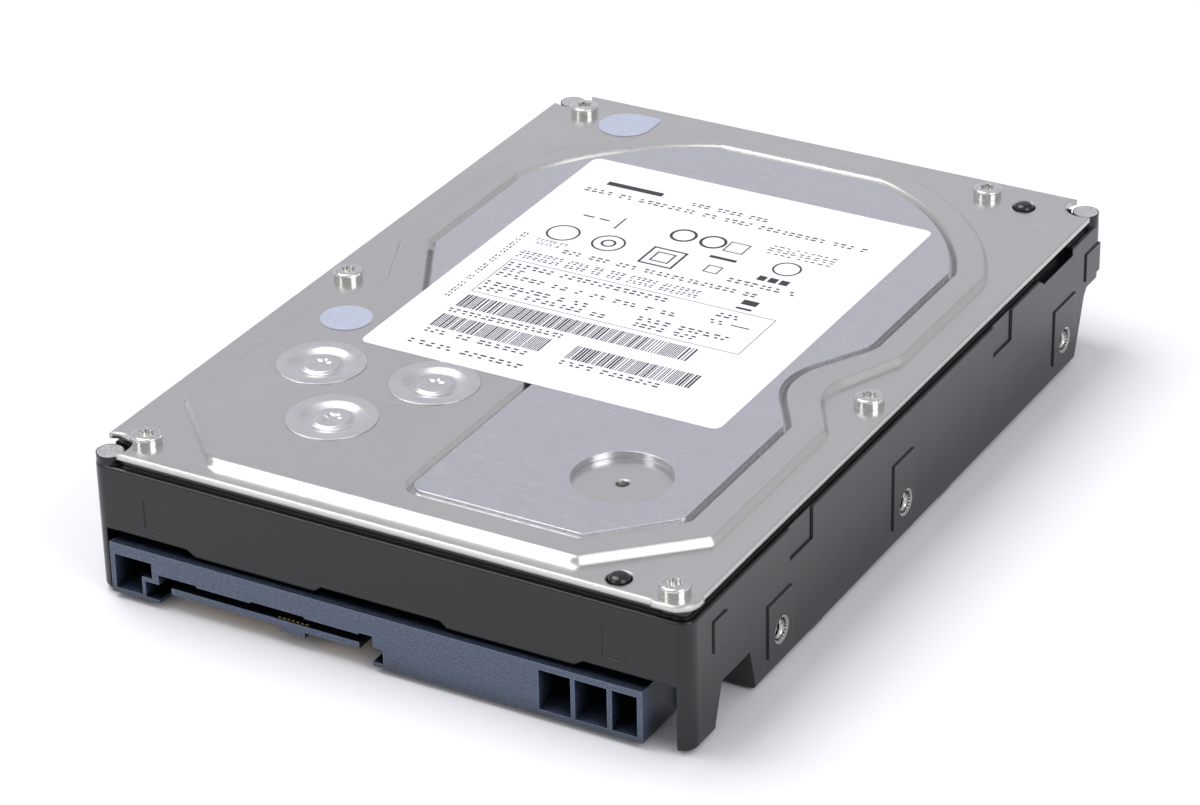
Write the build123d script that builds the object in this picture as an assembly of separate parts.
from build123d import *
import math
import os

# A 3.5-inch enterprise hard disk drive, in millimetres.
# Frame: origin at the middle of the bottom datum plane, +Z up through the cover, the connector
# end faces -Y, and +X is to the right when looking at the connector end.

# ---- overall size -----------------------------------------------------------------------
drive_width = 101.6
drive_length = 145.3
half_width = drive_width / 2
datum_front = -drive_length / 2          # front face of the connector, the length datum
base_front = datum_front + 1.0
base_rear = drive_length / 2
rail_bottom = 0.4                        # rails end just above the datum pads
wall_x = half_width - 0.25               # side wall face; the screw pads stand proud of it
rim_top = 21.75
seat_top = 22.8                          # raised seat that carries the gasket
corner_radius = 2.4

# ---- standard mounting holes, 6-32 tapped -------------------------------------------------
tap_radius = 1.42
side_hole_from_datum = (28.5, 70.1, 130.1)
side_hole_z = 6.35
side_hole_depth = 4.2
bottom_hole_from_datum = (41.28, 85.73)
bottom_hole_x = 95.25 / 2
bottom_hole_depth = 4.6
countersink = 0.55
drill_point = tap_radius / math.tan(math.radians(118 / 2))      # 118 degree drill point
side_hole_ys = [datum_front + d for d in side_hole_from_datum]
bottom_hole_ys = [datum_front + d for d in bottom_hole_from_datum]

# ---- levels inside ------------------------------------------------------------------------
floor_under = 3.9
floor_top = 5.4
shallow_under = 11.2                     # floor over the connector bay
shallow_top = 12.9
cavity_x = 46.2
cavity_front = -67.3
filter_low = 9.4                         # underside of the recirculation filter
bay_rear = -61.0                         # connector bay reaches back to here
deep_front = -59.3

# ---- cover ---------------------------------------------------------------------------------
sheet = 0.9
cover_under = 23.33
cover_top = cover_under + sheet
plateau_rise = 1.1
plateau_top = cover_top + plateau_rise
plateau_slope = 36                       # degrees of taper on the stamped slope
post_notch_radius = 3.4
film = 0.1                               # thickness of labels and foil

# ---- spindle and discs -----------------------------------------------------------------------
spindle_x, spindle_y = 0.0, 22.0
disc_radius = 47.5
disc_bore_radius = 12.5
disc_thickness = 1.27
disc_count = 5
disc_pitch = 2.95
first_disc_z = 7.4
disc_pocket_radius = 48.1
stack_top = first_disc_z + disc_pitch * (disc_count - 1) + disc_thickness

# ---- actuator --------------------------------------------------------------------------------
pivot_x, pivot_y = -14.2, -32.5
parked_angle = 18.2                      # direction of the arms when the heads are parked
arm_thickness = 0.9
first_arm_z = first_disc_z - (disc_pitch - disc_thickness) / 2
carriage_radius = 8.3
coil_low, coil_high = 12.9, 15.5

# ---- circuit board ---------------------------------------------------------------------------
board_low, board_high = 1.3, 2.5

# ---- cover fasteners and stickers --------------------------------------------------------------
cover_screw_places = [
    (-43.8, -66.0), (46.2, -67.8), (46.2, -6.4), (31.9, 67.5), (-43.8, 66.2), (-46.2, -6.4),
]
locating_boss_places = [(37.7, -68.4), (39.2, 65.9)]
corner_posts = [(-48.3, -69.3, 23.1), (48.4, 70.2, 23.6), (-48.4, 70.2, 23.6)]   # x, y, top
corner_post_radius = 2.15
yoke_screw_places = [(-33.0, -34.8), (-22.2, -48.8)]
breather_x, breather_y = 25.1, -44.7
round_seal_x, round_seal_y = -37.6, -20.4
corner_seal_x, corner_seal_y = -34.8, 64.7
above_all = 30.0                         # cutters reach to here, above every surface
below_all = -1.0                         # and down to here


# ---- shape helpers -----------------------------------------------------------------------------
def block(x0, x1, y0, y1, z0, z1):
    """Box between two corners."""
    middle = Pos((x0 + x1) / 2, (y0 + y1) / 2, (z0 + z1) / 2)
    return middle * Box(abs(x1 - x0), abs(y1 - y0), abs(z1 - z0))


def post(x, y, z0, z1, radius):
    """Upright cylinder."""
    return Pos(x, y, (z0 + z1) / 2) * Cylinder(radius, z1 - z0)


def ring(x, y, z0, z1, outer, inner):
    """Upright tube."""
    return post(x, y, z0, z1, outer) - post(x, y, z0 - 1, z1 + 1, inner)


def slab(face, z0, z1):
    """Flat face drawn at z=0, given thickness between two levels."""
    return Pos(0, 0, z0) * extrude(face, amount=z1 - z0)


def soft_polygon(corners):
    """Face with straight runs between corners (x, y, radius), each corner rounded by a true arc."""
    joins = []
    for i, (x, y, radius) in enumerate(corners):
        here = Vector(x, y)
        before = (Vector(*corners[i - 1][:2]) - here).normalized()
        after = (Vector(*corners[(i + 1) % len(corners)][:2]) - here).normalized()
        half = math.radians(before.get_angle(after) / 2)
        run = radius / math.tan(half)
        inward = (before + after).normalized()
        middle = here + inward * (radius / math.sin(half) - radius)
        joins.append((here + before * run, middle, here + after * run, radius))
    edges = []
    for i, (start, middle, end, radius) in enumerate(joins):
        if radius > 0:
            edges.append(ThreePointArc(start, middle, end))
        edges.append(Line(end, joins[(i + 1) % len(joins)][0]))
    return make_face(edges)


def rectangle(x0, x1, y0, y1, radius=0.0):
    """Upright rectangle in plan, with rounded corners."""
    return soft_polygon([(x0, y0, radius), (x1, y0, radius), (x1, y1, radius), (x0, y1, radius)])


def circle(x, y, radius):
    return Pos(x, y) * Circle(radius)


def turned(profile, x, y):
    """Solid turned about the upright axis at (x, y) from (radius, z) points."""
    outline = make_face(Polyline(*[(r, 0, z) for r, z in profile], close=True))
    return Pos(x, y, 0) * revolve(outline, Axis.Z)


def around(x, y, count, shape, start=0.0):
    """Copies of a shape drawn at the origin, spaced evenly around (x, y)."""
    return [Pos(x, y, 0) * Rot(0, 0, start + i * 360 / count) * shape for i in range(count)]


def on_actuator(shape, turn=0.0):
    """Place a shape drawn with the pivot at the origin and the arms along +X."""
    return Pos(pivot_x, pivot_y, 0) * Rot(0, 0, parked_angle + turn) * shape


def polar(x, y, radius, angle):
    return (x + radius * math.cos(math.radians(angle)), y + radius * math.sin(math.radians(angle)))


def sector(inner, outer, low, high):
    """Plan view of a ring segment about the origin, between two angles in degrees."""
    mid = (low + high) / 2
    edges = [
        ThreePointArc(polar(0, 0, outer, low), polar(0, 0, outer, mid), polar(0, 0, outer, high)),
        Line(polar(0, 0, outer, high), polar(0, 0, inner, high)),
        ThreePointArc(polar(0, 0, inner, high), polar(0, 0, inner, mid), polar(0, 0, inner, low)),
        Line(polar(0, 0, inner, low), polar(0, 0, outer, low)),
    ]
    return make_face(edges)


def screw(x, y, seat, head_radius, head_height, shank_radius, shank_length, recess_radius, recess_depth):
    """Pan-head screw standing on a seat, with a six-lobe driver recess."""
    head = post(x, y, seat, seat + head_height, head_radius)
    top_edge = head.edges().sort_by(Axis.Z)[-1]
    head = fillet(top_edge, head_height * 0.3)
    shank = post(x, y, seat - shank_length, seat, shank_radius)
    top = seat + head_height
    recess = post(x, y, top - recess_depth, top + 1, recess_radius * 0.78)
    for i in range(6):
        lobe_x, lobe_y = polar(x, y, recess_radius * 0.75, i * 60)
        recess = recess + post(lobe_x, lobe_y, top - recess_depth, top + 1, recess_radius * 0.25)
    return head + shank - recess


def write(name, shape):
    """Write one node; a list becomes a group of separate solids."""
    if isinstance(shape, list):
        solids = [solid for item in shape for solid in item.solids()]
        shape = Compound(children=solids)
    export_step(shape, f"parts/{name}.step")


# ---- outlines shared by the base, the gasket and the cover --------------------------------------
def cavity_outline():
    """Disc pocket joined to the bay for the actuator and magnets, less the two side screw bosses."""
    bay = soft_polygon([
        (-cavity_x, 14, 0), (-cavity_x, -53.8, 2), (-33.5, cavity_front, 2),
        (30.5, cavity_front, 2), (cavity_x, -53.5, 2), (cavity_x, 14, 0),
    ])
    outline = bay + circle(spindle_x, spindle_y, disc_pocket_radius)
    for x, y in cover_screw_places:
        if abs(y) < 10:
            outline = outline - circle(x, y, 5.2)
            outline = outline - rectangle(min(x, x * 1.2), max(x, x * 1.2), y - 5.2, y + 5.2)
    return outline


def shoulder(side):
    """Waist points where the raised cover panel draws in around a side screw."""
    return [(side * 45.5, -18.3, 4), (side * 39.1, -7.5, 8.5), (side * 45.6, 7.9, 5)]


def arc_start_y(radius, side_x):
    """Height in plan at which an arc about the spindle meets the straight side."""
    return spindle_y + math.sqrt(radius ** 2 - side_x ** 2)


def disc_end(radius, flat_y, side_x):
    """Far end of a cover outline: straight far edge joined to the sides by arcs about the spindle."""
    low_y = arc_start_y(radius, side_x)
    high_x = math.sqrt(radius ** 2 - (flat_y - spindle_y) ** 2)
    low_angle = math.degrees(math.acos(side_x / radius))
    high_angle = math.degrees(math.acos(high_x / radius))
    mid = polar(spindle_x, spindle_y, radius, (low_angle + high_angle) / 2)
    return make_face([
        Line((-side_x, low_y), (side_x, low_y)),
        ThreePointArc((side_x, low_y), mid, (high_x, flat_y)),
        Line((high_x, flat_y), (-high_x, flat_y)),
        ThreePointArc((-high_x, flat_y), (-mid[0], mid[1]), (-side_x, low_y)),
    ])


def plateau_outline():
    """Foot of the stamped slope on the cover."""
    radius, flat_y, side_x = disc_pocket_radius, 65.3, 45.6
    low_y = arc_start_y(radius, side_x)
    lower = soft_polygon([
        (-31.5, -68.4, 2), (30.5, -68.4, 2), (45.5, -54.3, 2.5), *shoulder(1),
        (side_x, low_y, 0), (-side_x, low_y, 0), *reversed(shoulder(-1)), (-46, -53.6, 2.5),
    ])
    return lower + disc_end(radius, flat_y, side_x)


def damper_outline():
    """Damping plate set into the cover: round over the discs, square over the front right bay."""
    radius, flat_y, side_x = 41.9, 61.3, 39.2
    low_y = arc_start_y(radius, side_x)
    lower = soft_polygon([
        (-0.9, -61.7, 2.2), (28.0, -61.7, 0.8), (38.8, -51.0, 1.0), (38.8, -20.0, 1.5), (30.7, -7.2, 12),
        (side_x, 8.4, 6), (side_x, low_y, 0), (-side_x, low_y, 0), (-side_x, 9.1, 1.5),
        (-28.0, -12.0, 8), (-0.9, -22.5, 1.5),
    ])
    return lower + disc_end(radius, flat_y, side_x)


def grown(face, amount):
    """Outline moved outwards (or inwards, when negative) with rounded corners."""
    return offset(face, amount=amount, kind=Kind.ARC)


# ---- base casting ---------------------------------------------------------------------------------
leg_inner_x = 48.35
board_pocket_x = 43.6
board_pocket_rear = 35.0
motor_well_radius = 16.8
motor_well_wall = 19.6
motor_well_floor = 2.2
motor_bore_radius = 4.02
motor_bore_wall = 1.2
rear_pocket_front, rear_pocket_back = 37.5, 69.5
rear_pocket_top = 2.6
rear_corner_x = 38.5                      # the cut-back rear corners reach in to here
feedthrough_box = (17, 29, -55.2, -48.8)  # x0, x1, y0, y1 of the floor opening
board_screw_places = [(-39, -30), (39, -30), (-39, 28), (39, 28), (0, -12)]
board_bore_radius = 0.97
cover_boss_radius = 2.9
cover_bore_radius = 1.27
cover_bore_low = 15.5


def base_outer():
    body = slab(rectangle(-wall_x, wall_x, base_front, base_rear, corner_radius), rail_bottom, rim_top)
    body = fillet(body.faces().sort_by(Axis.Z)[0].outer_wire().edges(), 0.7)
    body = fillet(body.faces().sort_by(Axis.Z)[-1].outer_wire().edges(), 0.4)
    seat = rectangle(-wall_x + 1.0, wall_x - 1.0, base_front + 1.1, base_rear - 1.1, corner_radius - 1)
    for x, y, top in corner_posts:
        seat = seat - circle(x, y, post_notch_radius)
    return body + slab(seat, rim_top, seat_top)


def side_pads(side):
    """Raised pads round the side screws and two small raised ejector pads."""
    face_x, proud_x = side * (wall_x - 0.5), side * half_width
    first, second, third = side_hole_ys
    spans = [(first - 4.0, first + 3.5, 3.35, 12.2), (second - 4.2, second + 2.8, 3.35, 14.6),
             (third - 4.2, third + 4.2, 3.35, 13.3), (-64.7, -60.7, 13.5, 18.7), (65.7, 71.2, 13.2, 18.2)]
    return [block(face_x, proud_x, y0, y1, z0, z1) for y0, y1, z0, z1 in spans]


def bottom_pads(side):
    """Datum pads round the bottom screws; the drive rests on them."""
    inner, outer = side * (bottom_hole_x - 2.2), side * (bottom_hole_x + 2.4)
    return [block(inner, outer, y - 2, y + 2, 0, rail_bottom + 1) for y in bottom_hole_ys]


def connector_bay():
    """Opening under the front wall, with a shallow double arch along its upper edge."""
    low, high = 10.25, shallow_under
    arch = make_face(Polyline(
        (-leg_inner_x, below_all), (leg_inner_x, below_all), (leg_inner_x, high), (33.4, high),
        (31.9, low), (11.0, low), (9.8, high), (-10.4, high), (-11.6, low), (-32.5, low),
        (-33.9, high), (-leg_inner_x, high), close=True))
    front = Pos(0, base_front - 1, 0) * Rot(90, 0, 0) * extrude(arch, amount=-4)
    behind = block(-leg_inner_x, leg_inner_x, base_front + 2, bay_rear, below_all, shallow_under)
    return front + behind


def base_cavity():
    """Inside of the base: deep behind the connector bay, shallow over it, with a bay for the filter."""
    over_bay = rectangle(-60, 60, -80, deep_front)
    deep = slab(cavity_outline() - over_bay, floor_top, above_all)
    shallow = slab(cavity_outline() & grown(over_bay, 1), shallow_top, above_all)
    filter_bay = slab(rectangle(-44, -31, 47, 61, 2), filter_low, above_all)
    return deep + shallow + filter_bay


def through_side(face, side, outer_x, inner_x):
    """Outline in (y, z), cut inwards through one side wall."""
    across = Plane(origin=(side * outer_x, 0, 0), x_dir=(0, 1, 0), z_dir=(1, 0, 0))
    return extrude(across * face, amount=-side * (outer_x - inner_x))


def side_notches(side):
    """Leg gap near the connector and the cut-back at the far end of each rail."""
    gap = make_face(Polyline((-64.2, below_all), (-64.2, 1.5), (-62.2, 7.7), (-53.7, 7.7), (-51.8, 0.5),
                             (-51.8, below_all), close=True))
    rear = make_face(Polyline((62.4, below_all), (62.4, 0.9), (65.6, 10.8), (66.6, 11.9), (74, 11.9),
                              (74, below_all), close=True))
    return through_side(gap, side, 60, 45) + through_side(rear, side, 60, rear_corner_x)


def blind_hole(depth):
    """Tap drill pointing down from the origin, its barrel to the given depth and a cone point beyond."""
    barrel = Pos(0, 0, (1 - depth) / 2) * Cylinder(tap_radius, depth + 1)
    point = Pos(0, 0, -depth - drill_point / 2) * Cone(0, tap_radius, drill_point)
    return barrel + point


def screw_holes(side):
    """Tapped mounting holes of one rail: countersunk in the side, plain in the bottom."""
    holes = []
    for y in side_hole_ys:
        mouth = Pos(side * half_width, y, side_hole_z) * Rot(0, side * 90, 0)
        holes.append(mouth * blind_hole(side_hole_depth))
        sink = Pos(0, 0, -countersink / 2) * Cone(tap_radius, tap_radius + countersink * 1.4, countersink)
        holes.append(mouth * sink)
    for y in bottom_hole_ys:
        holes.append(Pos(side * bottom_hole_x, y, 0) * Rot(180, 0, 0) * blind_hole(bottom_hole_depth))
    return holes


def motor_seat():
    """Round boss under the floor with the bore for the bearing sleeve, and the well above it."""
    boss = post(spindle_x, spindle_y, 0.9, floor_top, motor_well_wall)
    well = post(spindle_x, spindle_y, motor_well_floor, above_all, motor_well_radius)
    collar = post(spindle_x, spindle_y, motor_well_floor - 0.5, 4.8, motor_bore_radius + motor_bore_wall)
    return boss, well, collar


def board_pockets():
    """Hollows in the underside: one for the circuit board, one beyond it with the stiffening ribs."""
    board = rectangle(-board_pocket_x, board_pocket_x, bay_rear - 1, board_pocket_rear, 1.5)
    rear = rectangle(-board_pocket_x, board_pocket_x, rear_pocket_front, rear_pocket_back, 2)
    open_end = block(-board_pocket_x, board_pocket_x, rear_pocket_back - 5, 80, below_all, rear_pocket_top)
    return slab(board, below_all, floor_under) + slab(rear, below_all, rear_pocket_top) + open_end


def rear_ribs():
    ribs = [block(x - 0.7, x + 0.7, 37, 69.8, 1.2, 3) for x in (-28, -14, 0, 14, 28)]
    return ribs + [block(-board_pocket_x, board_pocket_x, 52.3, 53.7, 1.2, 3)]


def base_casting():
    body = base_outer() - base_cavity()
    for side in (-1, 1):
        body = body + side_pads(side) + bottom_pads(side)
    body = body - connector_bay() - board_pockets() - side_notches(1) - side_notches(-1)
    boss, well, collar = motor_seat()
    body = body + boss - well + collar
    body = body - post(spindle_x, spindle_y, below_all, above_all, motor_bore_radius)
    body = body + rear_ribs()
    for x, y, top in corner_posts:
        body = body + post(x, y, rim_top - 2, top, corner_post_radius)
    for x, y in locating_boss_places:
        body = body + turned([(0, 20), (1.65, 20), (1.65, 24.35), (1.35, 24.75), (0.9, 24.98), (0, 25.05)],
                             x, y)
    for x, y in board_screw_places:
        body = body + post(x, y, board_high, floor_under + 0.2, 2.4)
        body = body - post(x, y, board_high - 1, 5.0, board_bore_radius)
    inside_walls = block(-wall_x + 0.4, wall_x - 0.4, base_front + 0.4, base_rear - 0.4, 0, above_all)
    for x, y in cover_screw_places:
        body = body + (post(x, y, 14, seat_top, cover_boss_radius) & inside_walls)
        body = body - post(x, y, cover_bore_low, above_all, cover_bore_radius)
    for side in (-1, 1):
        body = body - screw_holes(side)
        for y0, y1 in ((-41.2, -33.7), (29.3, 36.3)):
            body = body - block(side * (wall_x - 0.3), side * (wall_x + 1), y0, y1, 16.2, above_all)
    for x0, x1 in ((-41.3, -37.4), (36.5, 40.5)):
        body = body - block(x0, x1, base_front - 1, base_front + 0.15, 12.9, 17.7)
    rim_cut = make_face(Polyline((45.6, 22.6), (48.6, 20.45), (60.2, 20.45), (60.2, 22.6), close=True))
    body = body - through_side(rim_cut, 1, 60, 48.7)
    body = body - post(pivot_x, pivot_y, 4.6, above_all, 2.0)
    return body - block(*feedthrough_box, 3, above_all)


# ---- top cover and what sits on it -----------------------------------------------------------------
dimple_radius = 6.0
dimple_depth = 1.1
seal_places = yoke_screw_places + [(pivot_x, pivot_y)]
recess_wall = 42                          # degrees from upright of the damper recess wall
seal_radius = 7.1
breather_hole_radius = 1.0
damper_hole_radius = 7.65


def cover_edge():
    edge = rectangle(-50.3, 50.3, base_front + 0.2, base_rear - 0.2, 1.0)
    for x, y, top in corner_posts:
        edge = edge - circle(x, y, post_notch_radius)
    tab_front, tab_side = base_front - 0.1, 50.6
    tab = rectangle(44.5, tab_side, tab_front, -67.4) & rectangle(30, tab_side, tab_front, -50, 3.4)
    tab_space = rectangle(45.5, 60, -80, -67.5)
    return (edge - tab_space) + tab


def damper_recess():
    """Recess for the damping plate, wider at its mouth than at its floor."""
    mouth = grown(damper_outline(), 1.35)
    upward = extrude(mouth, amount=plateau_rise, taper=recess_wall)
    return Pos(0, 0, plateau_top) * mirror(upward, Plane.XY)


def top_cover():
    panel = plateau_outline()
    body = slab(cover_edge(), cover_under, cover_top)
    body = body + Pos(0, 0, cover_top) * extrude(panel, amount=plateau_rise, taper=plateau_slope)
    hollow = grown(panel, -1.2) - grown(damper_outline(), 2.0)
    for x, y in seal_places:
        hollow = hollow - circle(x, y, dimple_radius + 0.6)
    body = body - slab(hollow, cover_under - 1, cover_under + plateau_rise)
    body = body - damper_recess()
    dimple_floor = plateau_top - dimple_depth
    for x, y in seal_places:
        body = body - turned([(0, plateau_top + 1), (dimple_radius, plateau_top + 1),
                              (dimple_radius, plateau_top), (dimple_radius - dimple_depth, dimple_floor),
                              (0, dimple_floor)], x, y)
    holes = [(x, y, 1.4) for x, y in seal_places] + [(x, y, 1.55) for x, y in cover_screw_places]
    holes += [(x, y, 1.95) for x, y in locating_boss_places]
    holes += [(breather_x, breather_y, breather_hole_radius)]
    holes += [(round_seal_x, round_seal_y, 2.6), (corner_seal_x, corner_seal_y, 2.6)]
    for x, y, radius in holes:
        body = body - post(x, y, below_all, above_all, radius)
    return body


def damping_plate():
    outline = damper_outline() - circle(breather_x, breather_y, damper_hole_radius)
    return slab(outline, cover_top, plateau_top)


def foil_seal(x, y):
    """Foil disc stuck over a recessed screw and pressed down onto its head."""
    top = plateau_top
    return turned([(seal_radius, top), (seal_radius, top + film), (5.9, top + film), (4.6, top - 0.12),
                   (3.0, top - 0.2), (0, top - 0.16), (0, top - 0.16 - film), (3.0, top - 0.2 - film),
                   (4.5, top - 0.12 - film), (5.85, top)], x, y)


def corner_seal():
    """Round sticker with one squared corner, over a test hole in the cover flange."""
    x, y, radius = corner_seal_x, corner_seal_y, 4.7
    shape = circle(x, y, radius) + rectangle(x, x + radius, y, y + radius, 0.9)
    return slab(shape, cover_top, cover_top + film)


def gasket():
    band = grown(cavity_outline(), 1.2) - grown(cavity_outline(), 0.25)
    return slab(band, seat_top, cover_under)


def product_label():
    return slab(rectangle(-31.7, 31.0, -26.1, 48.7, 1.5), plateau_top, plateau_top + film)


def cover_parts():
    write("top_cover", top_cover())
    write("cover_damping_plate", damping_plate())
    write("cover_gasket", gasket())
    write("cover_screws", [screw(x, y, cover_top, 2.3, 1.42, 1.25, 7.0, 1.25, 0.8)
                           for x, y in cover_screw_places])
    write("recessed_cover_screws", [screw(x, y, cover_top, 2.6, 0.75, 1.2, 4.2, 1.3, 0.5)
                                    for x, y in seal_places])
    write("screw_foil_seals", [foil_seal(x, y) - product_label() for x, y in seal_places])
    write("round_hole_seal", post(round_seal_x, round_seal_y, plateau_top, plateau_top + film, 4.15))
    write("corner_hole_seal", corner_seal())
    write("product_label", product_label())


# ---- spindle motor and discs ----------------------------------------------------------------------
tooth_count = 9
shaft_radius = 2.0
sleeve_radius = 4.0
hub_flange_radius = 15.8
clamp_radius = 15.6
clamp_thickness = 0.9
hub_below_clamp = 0.2                     # gap that lets the clamp press on the discs
clamp_screw_places = [polar(spindle_x, spindle_y, 7.5, i * 60) for i in range(6)]


def bearing_sleeve():
    sleeve = post(spindle_x, spindle_y, 0.9, 7.2, sleeve_radius)
    return sleeve - post(spindle_x, spindle_y, 1.6, 30, shaft_radius + 0.03)


def stator_core():
    core = ring(0, 0, 3.2, 5.4, 6.6, motor_bore_radius + motor_bore_wall + 0.02)
    tooth = block(6.3, 9.4, -0.8, 0.8, 3.2, 5.4) + slab(sector(9.2, 10.0, -15, 15), 3.2, 5.4)
    for piece in around(0, 0, tooth_count, tooth):
        core = core + piece
    return Pos(spindle_x, spindle_y, 0) * core


def stator_coils():
    coil = block(6.9, 9.0, -1.6, 1.6, 2.5, 6.1) - block(6, 10, -0.82, 0.82, 3.18, 5.42)
    coil = fillet(coil.edges().filter_by(Axis.X).group_by(lambda e: abs(e.center().Y))[-1], 0.6)
    return around(spindle_x, spindle_y, tooth_count, coil)


def rotor_hub():
    """Hub with a skirt that carries the ring magnet, and a flange under the lowest disc."""
    seat_radius = disc_bore_radius - 0.02
    top = stack_top - hub_below_clamp
    hub = turned([(shaft_radius, 7.6), (11.4, 7.6), (11.4, 2.7), (13.4, 2.7), (13.4, 5.7),
                  (hub_flange_radius, 5.7), (hub_flange_radius, first_disc_z), (seat_radius, first_disc_z),
                  (seat_radius, top), (shaft_radius, top)], spindle_x, spindle_y)
    for x, y in clamp_screw_places:
        hub = hub - post(x, y, 15.5, above_all, 1.12)
    return hub


def platter(index):
    low = first_disc_z + index * disc_pitch
    high = low + disc_thickness
    bevel = 0.12
    return turned([(disc_bore_radius, low), (disc_radius - bevel, low), (disc_radius, low + bevel),
                   (disc_radius, high - bevel), (disc_radius - bevel, high), (disc_bore_radius, high)],
                  spindle_x, spindle_y)


def spacer_rings():
    rings = []
    for i in range(disc_count - 1):
        low = first_disc_z + i * disc_pitch + disc_thickness
        high = first_disc_z + (i + 1) * disc_pitch
        rings.append(ring(spindle_x, spindle_y, low, high, clamp_radius, disc_bore_radius))
    return rings


def disc_clamp():
    """Springy plate that presses the stack down at its rim, with six screws and six balance holes."""
    low = stack_top
    clamp = turned([(2.6, low), (clamp_radius, low), (clamp_radius, low + 0.7), (14.4, low + 0.95),
                    (12.9, low + 0.75), (11.2, low + 0.75), (10.4, low + clamp_thickness),
                    (4.2, low + clamp_thickness), (2.6, low + 0.7)], spindle_x, spindle_y)
    for x, y in clamp_screw_places:
        clamp = clamp - post(x, y, below_all, above_all, 1.25)
    for i in range(6):
        x, y = polar(spindle_x, spindle_y, 11.4, i * 60 + 30)
        clamp = clamp - post(x, y, below_all, above_all, 0.9)
    return clamp


def spindle_parts():
    write("motor_bearing_sleeve", bearing_sleeve())
    write("motor_stator_core", stator_core())
    write("motor_stator_coils", stator_coils())
    write("motor_shaft", post(spindle_x, spindle_y, 1.65, stack_top - hub_below_clamp, shaft_radius))
    write("rotor_hub", rotor_hub())
    write("rotor_magnet", ring(spindle_x, spindle_y, 2.8, 6.6, 11.4, 10.35))
    for i in range(disc_count):
        write(f"platter_{i + 1}", platter(i))
    write("disc_spacer_rings", spacer_rings())
    write("disc_clamp", disc_clamp())
    write("clamp_screws", [screw(x, y, stack_top + clamp_thickness, 1.9, 0.85, 1.1, 4.5, 1.0, 0.55)
                           for x, y in clamp_screw_places])


# ---- actuator, drawn with the pivot at the origin and the arms along +X ---------------------------
arm_reach = 34.0
head_reach = 52.2
tab_reach = 55.6
suspension_thickness = 0.15
coil_half_angle = 13.0
coil_turn = 180.0                        # the coil is opposite the arms
sleeve_outer = 6.4
sleeve_inner = 4.9
ball_radius = 0.8
arm_levels = [first_arm_z + i * disc_pitch for i in range(disc_count + 1)]


def carriage():
    body = ring(0, 0, 6.1, 21.76, carriage_radius, sleeve_outer)
    arm = soft_polygon([(5, -6.8, 0), (arm_reach, -3.0, 1.2), (arm_reach, 3.0, 1.2), (5, 6.8, 0)])
    window = soft_polygon([(13.5, -3.4, 1.2), (27, -1.9, 1), (27, 1.9, 1), (13.5, 3.4, 1.2)])
    arm = arm - circle(0, 0, carriage_radius - 0.5) - window
    for level in arm_levels:
        body = body + slab(arm, level - arm_thickness / 2, level + arm_thickness / 2)
    return on_actuator(body)


def suspension(level, up):
    """Base plate, tapered load beam and lift tab on one face of an arm."""
    half = [(30.2, 2.8, 0.8), (35.5, 2.8, 0.6), (36.5, 2.5, 0), (50.5, 0.8, 0), (52.8, 0.7, 0.2),
            (53.2, 0.35, 0), (tab_reach, 0.35, 0.3)]
    plate = soft_polygon([(x, -y, r) for x, y, r in half] + list(reversed(half)))
    window = soft_polygon([(38, -1.2, 0.4), (44, -0.7, 0.4), (44, 0.7, 0.4), (38, 1.2, 0.4)])
    plate = plate - circle(32.6, 0, 1.1) - window
    inner = level + up * arm_thickness / 2
    outer = inner + up * suspension_thickness
    return on_actuator(slab(plate, min(inner, outer), max(inner, outer)))


def slider(level, up):
    inner = level + up * (arm_thickness / 2 + suspension_thickness)
    outer = inner + up * 0.2
    body = block(head_reach - 0.6, head_reach + 0.6, -0.5, 0.5, min(inner, outer), max(inner, outer))
    return on_actuator(body)


def head_faces():
    """Arm level and side for every recording head."""
    faces = []
    for i, level in enumerate(arm_levels):
        if i > 0:
            faces.append((level, -1))
        if i < disc_count:
            faces.append((level, 1))
    return faces


def voice_coil():
    outer = sector(13.0, 26.2, coil_turn - coil_half_angle, coil_turn + coil_half_angle)
    inner = sector(16.6, 22.6, coil_turn - coil_half_angle * 0.42, coil_turn + coil_half_angle * 0.42)
    return on_actuator(slab(outer - inner, coil_low, coil_high))


def coil_frame():
    frame = sector(7.0, 27.4, coil_turn - 15.5, coil_turn + 15.5) - circle(0, 0, carriage_radius)
    frame = frame - sector(13.0, 26.2, coil_turn - coil_half_angle, coil_turn + coil_half_angle)
    return on_actuator(slab(frame, coil_low, coil_high))


def pivot_sleeve():
    return ring(pivot_x, pivot_y, 6.6, 22.3, sleeve_outer, sleeve_inner)


def pivot_shaft():
    shaft = post(pivot_x, pivot_y, floor_top, cover_under, 3.2) + post(pivot_x, pivot_y, 4.6, 6, 1.98)
    shaft = shaft + post(pivot_x, pivot_y, floor_top, 6.2, 4.6)
    return shaft - post(pivot_x, pivot_y, 19.5, 30, 1.22)


def pivot_balls():
    ball = Pos(4.05, 0, 0) * Sphere(ball_radius)
    rows = []
    for z in (9.4, 19.6):
        rows += around(pivot_x, pivot_y, 9, Pos(0, 0, z) * ball)
    return rows


def flex_tail():
    """Stiffened end of the flex cable, bonded to the side of the carriage."""
    wrap = sector(carriage_radius, carriage_radius + 0.35, -100, -62)
    return on_actuator(slab(wrap, 9.0, 18.0))


def preamp_chip():
    chip = block(8.67, 9.35, -1.7, 1.7, 12.0, 15.4)
    return on_actuator(chip, -81)


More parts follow.
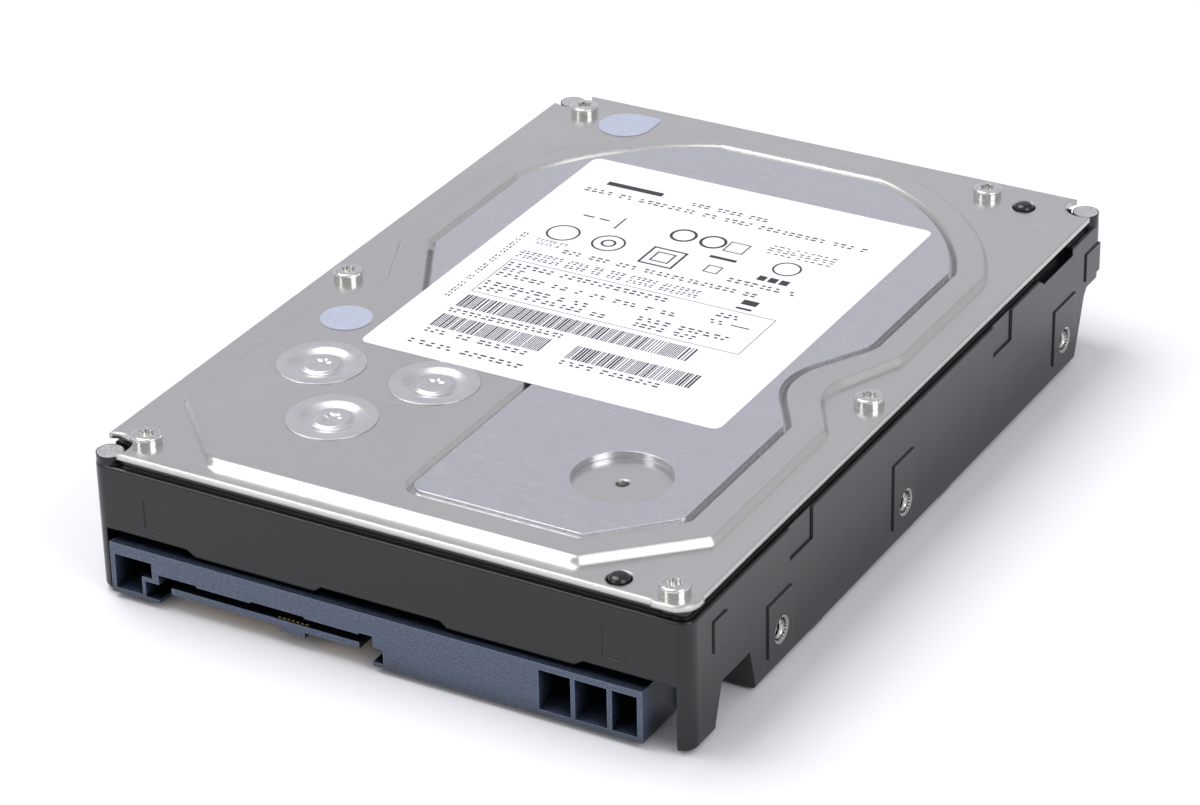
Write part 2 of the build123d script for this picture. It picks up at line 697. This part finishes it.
def actuator_parts():
    write("pivot_shaft", pivot_shaft())
    write("pivot_bearing_balls", pivot_balls())
    write("pivot_bearing_sleeve", pivot_sleeve())
    write("actuator_arms", carriage())
    write("head_suspensions", [suspension(level, up) for level, up in head_faces()])
    write("head_sliders", [slider(level, up) for level, up in head_faces()])
    write("voice_coil", voice_coil())
    write("coil_frame", coil_frame())
    write("actuator_flex_tail", flex_tail())
    write("preamplifier_chip", preamp_chip())


# ---- voice-coil magnets, stops and latch ----------------------------------------------------------
lower_yoke = (floor_top, 8.2)
lower_magnet = (8.2, 12.2)
upper_magnet = (16.2, 19.2)
upper_yoke = (19.2, 22.0)
yoke_post_places = [(-40.1, -30.7), (-40.6, -52.6), (-18.7, -54.0)]
stop_post_places = [yoke_post_places[0], yoke_post_places[2]]
yoke_post_radius = 1.5
latch_pin_x, latch_pin_y = -43.3, -46.6


def yoke(levels, bosses):
    """Steel plate behind a magnet; the upper one has two bosses for the recessed cover screws."""
    outline = soft_polygon([
        (-45.3, -28.0, 1.5), (-38.5, -27.6, 3), (-24.0, -30.0, 1), (-17.0, -34.0, 0), (-15.0, -41.5, 0),
        (-15.6, -56.6, 1.5), (-22.0, -58.2, 1.5), (-39.5, -58.2, 2), (-45.3, -51.5, 2)])
    outline = outline - circle(pivot_x, pivot_y, 9.7)
    for x, y in yoke_post_places:
        outline = outline - circle(x, y, yoke_post_radius)
    body = slab(outline, *levels) - post(latch_pin_x, latch_pin_y, 0, 30, 0.82)
    if bosses:
        for x, y in yoke_screw_places:
            body = body + post(x, y, levels[1] - 0.2, cover_under, 3.0)
            body = body - post(x, y, levels[0] + 0.2, 30, 1.22)
    return body


def magnet(levels):
    shape = sector(12.2, 26.6, 189, 242)
    return Pos(pivot_x, pivot_y, 0) * slab(shape, *levels)


def yoke_posts():
    return [post(x, y, lower_yoke[0], upper_yoke[1], yoke_post_radius) for x, y in yoke_post_places]


def crash_stops():
    low, high = coil_low - 0.6, coil_high + 0.6
    return [ring(x, y, low, high, 2.25, yoke_post_radius) for x, y in stop_post_places]


def latch():
    """Small inertia lever whose hook sits beside the coil frame when the heads are parked."""
    arm = soft_polygon([(-44.6, -48.6, 0.8), (-42.3, -48.6, 0.8), (-42.1, -45.0, 1), (-42.9, -41.2, 0.6),
                        (-41.4, -40.6, 0.3), (-41.5, -39.7, 0.3), (-44.0, -39.8, 0.6), (-44.8, -45.0, 1)])
    return slab(arm, coil_low, coil_high) - post(latch_pin_x, latch_pin_y, 0, 30, 0.85)


def magnet_parts():
    write("lower_magnet_yoke", yoke(lower_yoke, False))
    write("upper_magnet_yoke", yoke(upper_yoke, True))
    write("lower_magnet", magnet(lower_magnet))
    write("upper_magnet", magnet(upper_magnet))
    write("yoke_posts", yoke_posts())
    write("crash_stop_sleeves", crash_stops())
    write("actuator_latch", latch())
    write("latch_pin", post(latch_pin_x, latch_pin_y, lower_yoke[0], upper_yoke[1], 0.8))


# ---- parking ramp, filters and flex cable ---------------------------------------------------------
ramp_finger = 0.15
ramp_inner, ramp_outer = 53.6, 60.0
ramp_body_inner = 56.6
foot_top = floor_top + 1.0
bracket_screw_places = [(30.9, -48.4), (30.9, -55.4)]
breather_case_low = 18.6
breather_case_radius = 8.2
breather_media_radius = 6.8


def load_ramp():
    """Plastic comb outside the discs: a finger level with every disc carries the parked lift tabs."""
    body = slab(sector(ramp_body_inner, ramp_outer, -3.5, 5.5), floor_top, 21.6)
    finger = sector(ramp_inner, ramp_body_inner + 0.5, -3.0, 5.0)
    for i in range(disc_count):
        low = first_disc_z + i * disc_pitch
        body = body + slab(finger, low - ramp_finger, low + disc_thickness + ramp_finger)
    foot = slab(sector(ramp_body_inner - 0.6, ramp_outer, -10.5, -3.0), floor_top, foot_top)
    x, y = ramp_screw_place()
    return on_actuator(body + foot) - post(x, y, 0, 30, 1.1)


def ramp_screw_place():
    return polar(pivot_x, pivot_y, 58.1, parked_angle - 7.2)


def breather_filter():
    """Cup under the breather hole; air leaves through the small hole in its floor."""
    x, y, low = breather_x, breather_y, breather_case_low
    case = ring(x, y, low, cover_under, breather_case_radius, breather_media_radius + 0.1)
    floor = post(x, y, low, low + 0.8, breather_media_radius + 0.4)
    return case + floor - post(x + 3, y, below_all, above_all, 1.0)


def breather_media():
    return post(breather_x, breather_y, breather_case_low + 0.8, seat_top - 0.2, breather_media_radius)


def recirculation_filter():
    """Pleated pad standing across the far left corner, just outside the discs."""
    folds, depth = 10, 0.9
    front = [(i - folds / 2, depth if i % 2 else -depth) for i in range(folds + 1)]
    back = [(x, y + depth) for x, y in reversed(front)]
    pleats = make_face(Polyline(*front, *back, close=True))
    return Pos(-38.6, 54.2, 0) * Rot(0, 0, 40) * slab(pleats, filter_low, rim_top - 0.25)


def flex_loop():
    """Ribbon standing on edge, looping from beside the carriage to the bracket."""
    centre = Spline((-8.2, -41.6), (-3.2, -44.6), (2.0, -51.5), (9.5, -54.6), (13.6, -51.4), (14.6, -47.4))
    half, steps = 0.15, 24
    left, right = [], []
    for i in range(steps + 1):
        point, along = centre @ (i / steps), centre % (i / steps)
        aside = Vector(-along.Y, along.X) * half
        left.append(point + aside)
        right.append(point - aside)
    face = make_face([Spline(*left), Line(left[-1], right[-1]), Spline(*reversed(right)),
                      Line(right[0], left[0])])
    return slab(face, 9.4, 17.6)


def flex_bracket():
    """Floor plate and upright wall that hold the fixed end of the flex cable."""
    plate = slab(rectangle(13.0, 33.0, -57.4, -46.2, 1.5), floor_top, foot_top)
    wall = block(15.1, 16.1, -56.0, -46.6, floor_top, 18.0)
    body = plate + wall - block(17.4, 28.6, -54.8, -49.2, below_all, above_all)
    for x, y in bracket_screw_places:
        body = body - post(x, y, below_all, above_all, 1.1)
    return body


def feedthrough():
    """Sealed contact block in the floor opening, from the flex bracket down to the board."""
    x0, x1, y0, y1 = feedthrough_box
    gap = 0.02
    lower = block(x0 + gap, x1 - gap, y0 + gap, y1 - gap, 3.3, floor_top)
    return lower + block(17.8, 28.2, -54.4, -49.6, 2.9, 8.2)


def inner_parts():
    write("load_ramp", load_ramp())
    write("breather_filter_case", breather_filter())
    write("breather_filter_media", breather_media())
    write("recirculation_filter", recirculation_filter())
    write("flex_cable_loop", flex_loop())
    write("flex_bracket", flex_bracket())
    write("ramp_and_bracket_screws", [screw(x, y, foot_top, 1.9, 0.9, 1.0, 1.0, 1.0, 0.5)
                                      for x, y in bracket_screw_places + [ramp_screw_place()]])
    write("feedthrough_block", feedthrough())


# ---- circuit board --------------------------------------------------------------------------------
board_front = -60.9
chips = {
    "controller_chip": (14, -22, 14.0, 14.0, 1.1),
    "memory_chip": (-8, -24, 8.0, 12.0, 1.0),
    "motor_driver_chip": (-22, -2, 8.0, 8.0, 0.9),
}


def circuit_board():
    outline = soft_polygon([(-43, board_front, 0.8), (43, board_front, 0.8), (43, 26, 3), (36, 33.6, 3),
                            (-36, 33.6, 3), (-43, 26, 3)])
    outline = outline - circle(spindle_x, spindle_y, motor_well_wall + 0.6)
    for x, y in board_screw_places:
        outline = outline - circle(x, y, 1.15)
    return slab(outline, board_low, board_high)


def small_parts():
    """Rows of chip capacitors and resistors beside the integrated circuits."""
    parts = []
    rows = [(0, -38, 7, 2.4), (24, -30, 6, 2.2), (-30, -14, 6, 2.4), (-14, -42, 5, 2.4), (-34, -46, 6, 2.2)]
    for x, y, count, pitch in rows:
        for i in range(count):
            for j in range(2):
                cx, cy = x + i * pitch, y + j * 3.0
                parts.append(block(cx - 0.6, cx + 0.6, cy - 1.0, cy + 1.0, board_high, board_high + 0.6))
    parts.append(block(25.5, 30.5, -11, -5, board_high, board_high + 0.9))
    return parts


def insulator_sheet():
    outline = rectangle(-38, 36, -46, 0.0, 2)
    for x, y in board_screw_places:
        outline = outline - circle(x, y, 3.2)
    return slab(outline - circle(spindle_x, spindle_y, motor_well_wall + 1.2), 3.66, floor_under)


def board_screw(x, y):
    """Flat screw driven upwards through the board into the base."""
    upright = screw(x, y, board_low, 2.2, 0.6, 0.95, 3.6, 1.1, 0.35)
    return Pos(0, 0, 2 * board_low) * mirror(upright, Plane.XY)


def board_parts():
    write("circuit_board", circuit_board())
    write("board_screws", [board_screw(x, y) for x, y in board_screw_places])
    for name, (x, y, size_x, size_y, height) in chips.items():
        write(name, block(x - size_x / 2, x + size_x / 2, y - size_y / 2, y + size_y / 2,
                          board_high, board_high + height))
    write("board_small_parts", small_parts())
    write("board_insulator", insulator_sheet())
    write("board_contact_blocks", [block(-28, -23, 6.0, 12.0, board_high, 3.8),
                                   block(18.4, 27.6, -53.8, -50.2, board_high, 2.88)])


# ---- host connector -------------------------------------------------------------------------------
conn_left, conn_right = -47.4, 43.4
conn_low, conn_high = 0.95, 9.5
conn_back = -61.5
mouth_back = -65.6                       # back wall of the tongue opening
tongue_low, tongue_high = 2.95, 4.05
contact_width = 0.8
small_contact_width = 0.45
contact_front = -71.8
pocket_back = -64.0                      # depth of the guide slots and of the empty pockets


def contact_places():
    """X positions of the power, key-side and signal contacts."""
    power = [-36.0 + i * 1.27 for i in range(15)]
    signal = [-12.6 + i * 1.27 for i in range(7)]
    second_port = [-17.9 + i * 0.8 for i in range(7)]
    return power + signal, second_port


def under_contact(x):
    """Strip along the underside of the tongue that ends in a foot on the board."""
    half = contact_width / 2
    strip = block(x - half, x + half, contact_front, -61.0, tongue_low - 0.15, tongue_low)
    return strip + block(x - half, x + half, -61.3, -59.3, board_high, tongue_low)


def over_contact(x):
    """Narrow strip along the top of the tongue, bent down behind the housing to the board."""
    half = small_contact_width / 2
    leg_front, leg_back = -61.35, -61.2
    strip = block(x - half, x + half, contact_front, leg_back, tongue_high, tongue_high + 0.1)
    leg = block(x - half, x + half, leg_front, leg_back, board_high, tongue_high + 0.1)
    return strip + leg + block(x - half, x + half, leg_front, -59.6, board_high, board_high + 0.12)


def connector_housing():
    """Moulded housing: guide slot on the left, the keyed plug with its tongue, then three pockets."""
    front = datum_front
    body = block(conn_left, conn_right, front, conn_back, conn_low, conn_high)
    body = body - block(-46.6, -41.85, front - 1, pocket_back, 1.75, 7.6)
    body = body - block(-42, -39.95, front - 1, pocket_back, 4.95, 7.6)
    mouth = make_face(Polyline(
        (-41.3, 1.55), (-38.9, 1.55), (-38.9, 0), (-1.35, 0), (-1.35, 1.65), (0.45, 1.65), (0.45, 4.1),
        (-1.25, 4.1), (-1.25, 5.95), (-3.6, 5.95), (-3.6, 5.65), (-13, 5.65), (-13, 5.95), (-22.5, 5.95),
        (-22.5, 5.65), (-32, 5.65), (-32, 5.95), (-38.8, 5.95), (-38.8, 4.25), (-41.3, 4.25), close=True))
    body = body - Pos(0, mouth_back, 0) * Rot(90, 0, 0) * extrude(mouth, amount=10)
    body = body + block(-36.8, -3.8, front + 0.35, mouth_back, tongue_low, tongue_high)
    body = body + block(-17.7, -13.3, front + 0.35, mouth_back, 2.0, tongue_low)
    for x0, x1 in ((26.6, 31.8), (32.5, 37.7), (38.5, 42.55)):
        body = body - block(x0, x1, front - 1, pocket_back, 1.75, 8.4)
    body = body - block(-39, 0, -62.6, -60, 0, board_high + 0.02)
    tongue_contacts, top_contacts = contact_places()
    for x in tongue_contacts:
        body = body - under_contact(x)
    for x in top_contacts:
        body = body - over_contact(x)
    return body


def connector_parts():
    tongue_contacts, top_contacts = contact_places()
    write("connector_housing", connector_housing())
    under = [under_contact(x) for x in tongue_contacts]
    over = [over_contact(x) for x in top_contacts]
    write("connector_contacts", under + over)


os.makedirs("parts", exist_ok=True)
write("base_casting", base_casting())
cover_parts()
spindle_parts()
actuator_parts()
magnet_parts()
inner_parts()
board_parts()
connector_parts()
